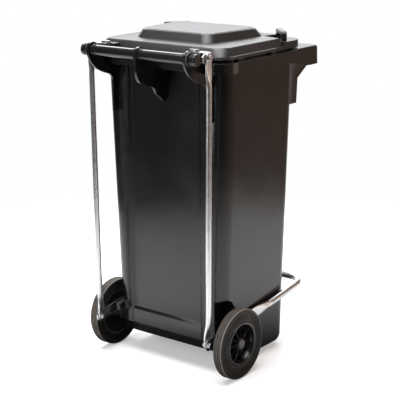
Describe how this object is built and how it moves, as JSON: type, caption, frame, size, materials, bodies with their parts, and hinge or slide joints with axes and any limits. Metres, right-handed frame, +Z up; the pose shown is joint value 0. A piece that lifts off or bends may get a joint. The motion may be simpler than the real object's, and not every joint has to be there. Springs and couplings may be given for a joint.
{
  "type": "wheelie bin",
  "caption": "Two-wheeled upright refuse bin with a hinged lid lifted by a foot pedal through push rods on both sides, a rear handle bar and a comb lip at the front.",
  "frame": {"origin": "on the ground, below the centre of the whole object's box", "axes": "+Z up, +Y to the rear (handle and wheels), +X across the bin; the front with the comb lip and pedal faces -Y"},
  "size_m": [0.482, 0.5315, 0.947],
  "materials": {
    "body_plastic": "moulded polyethylene with a fine grain and a soft sheen",
    "lid_plastic": "moulded polyethylene, smoother and glossier than the tub",
    "trim_plastic": "smooth moulded plastic",
    "cap_plastic": "grey moulded plastic",
    "tyre_rubber": "solid rubber with ring grooves, dusty tread",
    "pad_rubber": "matt black rubber",
    "zinc_tube": "bright zinc plate, faintly drawn along the tube",
    "zinc_bolt": "zinc plated fasteners"
  },
  "bodies": {
    "bin_body": {"tub": "body_plastic", "axle": "zinc_bolt", "hinge_pin_right": "trim_plastic", "hinge_pin_left": "trim_plastic", "lid_buffer_front_right": "pad_rubber", "lid_buffer_front_left": "pad_rubber", "lid_buffer_rear_right": "pad_rubber", "lid_buffer_rear_left": "pad_rubber"},
    "lid_assembly": {"lid": "lid_plastic", "lid_bracket_right": "zinc_tube", "lid_bracket_left": "zinc_tube", "bracket_bolt_1_right": "zinc_bolt", "bracket_bolt_1_left": "zinc_bolt", "bracket_nut_1_right": "zinc_bolt", "bracket_nut_1_left": "zinc_bolt", "bracket_bolt_2_right": "zinc_bolt", "bracket_bolt_2_left": "zinc_bolt", "bracket_nut_2_right": "zinc_bolt", "bracket_nut_2_left": "zinc_bolt"},
    "pedal": {"foot_pedal": "zinc_tube", "pedal_hanger_right": "zinc_tube", "pedal_hanger_left": "zinc_tube", "axle_spacer_right": "trim_plastic", "axle_spacer_left": "trim_plastic"},
    "rod_right": {"push_rod_right": "zinc_tube", "pedal_bolt_right": "zinc_bolt", "pedal_nut_right": "zinc_bolt", "bracket_pivot_bolt_right": "zinc_bolt", "bracket_pivot_washer_right": "zinc_bolt", "bracket_pivot_nut_right": "zinc_bolt"},
    "wheel_right": {"tyre_right": "tyre_rubber", "wheel_hub_right": "trim_plastic", "hub_cap_right": "cap_plastic", "axle_washer_right": "zinc_bolt"},
    "rod_left": {"push_rod_left": "zinc_tube", "pedal_bolt_left": "zinc_bolt", "pedal_nut_left": "zinc_bolt", "bracket_pivot_bolt_left": "zinc_bolt", "bracket_pivot_washer_left": "zinc_bolt", "bracket_pivot_nut_left": "zinc_bolt"},
    "wheel_left": {"tyre_left": "tyre_rubber", "wheel_hub_left": "trim_plastic", "hub_cap_left": "cap_plastic", "axle_washer_left": "zinc_bolt"}
  },
  "joints": [
    {"name": "pedal_pivot", "type": "hinge", "parent": "bin_body", "child": "pedal", "pos_m": [0, 0.111, 0.1], "axis": [1, 0, 0], "range_deg": [0, 20]},
    {"name": "lid_hinge", "type": "hinge", "parent": "bin_body", "child": "lid_assembly", "pos_m": [0, 0.244, 0.9], "axis": [-1, 0, 0], "range_deg": [0, 75]},
    {"name": "rod_pin_right", "type": "hinge", "parent": "pedal", "child": "rod_right", "pos_m": [0.192, 0.21, 0.1185], "axis": [-1, 0, 0], "range_deg": [0, 23.05]},
    {"name": "rod_pin_left", "type": "hinge", "parent": "pedal", "child": "rod_left", "pos_m": [-0.192, 0.21, 0.1185], "axis": [-1, 0, 0], "range_deg": [0, 23.05]},
    {"name": "wheel_spin_right", "type": "hinge", "parent": "bin_body", "child": "wheel_right", "pos_m": [0.225, 0.111, 0.1], "axis": [1, 0, 0], "continuous": true},
    {"name": "wheel_spin_left", "type": "hinge", "parent": "bin_body", "child": "wheel_left", "pos_m": [-0.225, 0.111, 0.1], "axis": [1, 0, 0], "continuous": true}
  ],
  "couplings": [
    {"joint": "lid_hinge", "follows": "pedal_pivot", "ratio": 3.75},
    {"joint": "rod_pin_right", "follows": "pedal_pivot", "ratio": 1.1525},
    {"joint": "rod_pin_left", "follows": "pedal_pivot", "ratio": 1.1525}
  ]
}
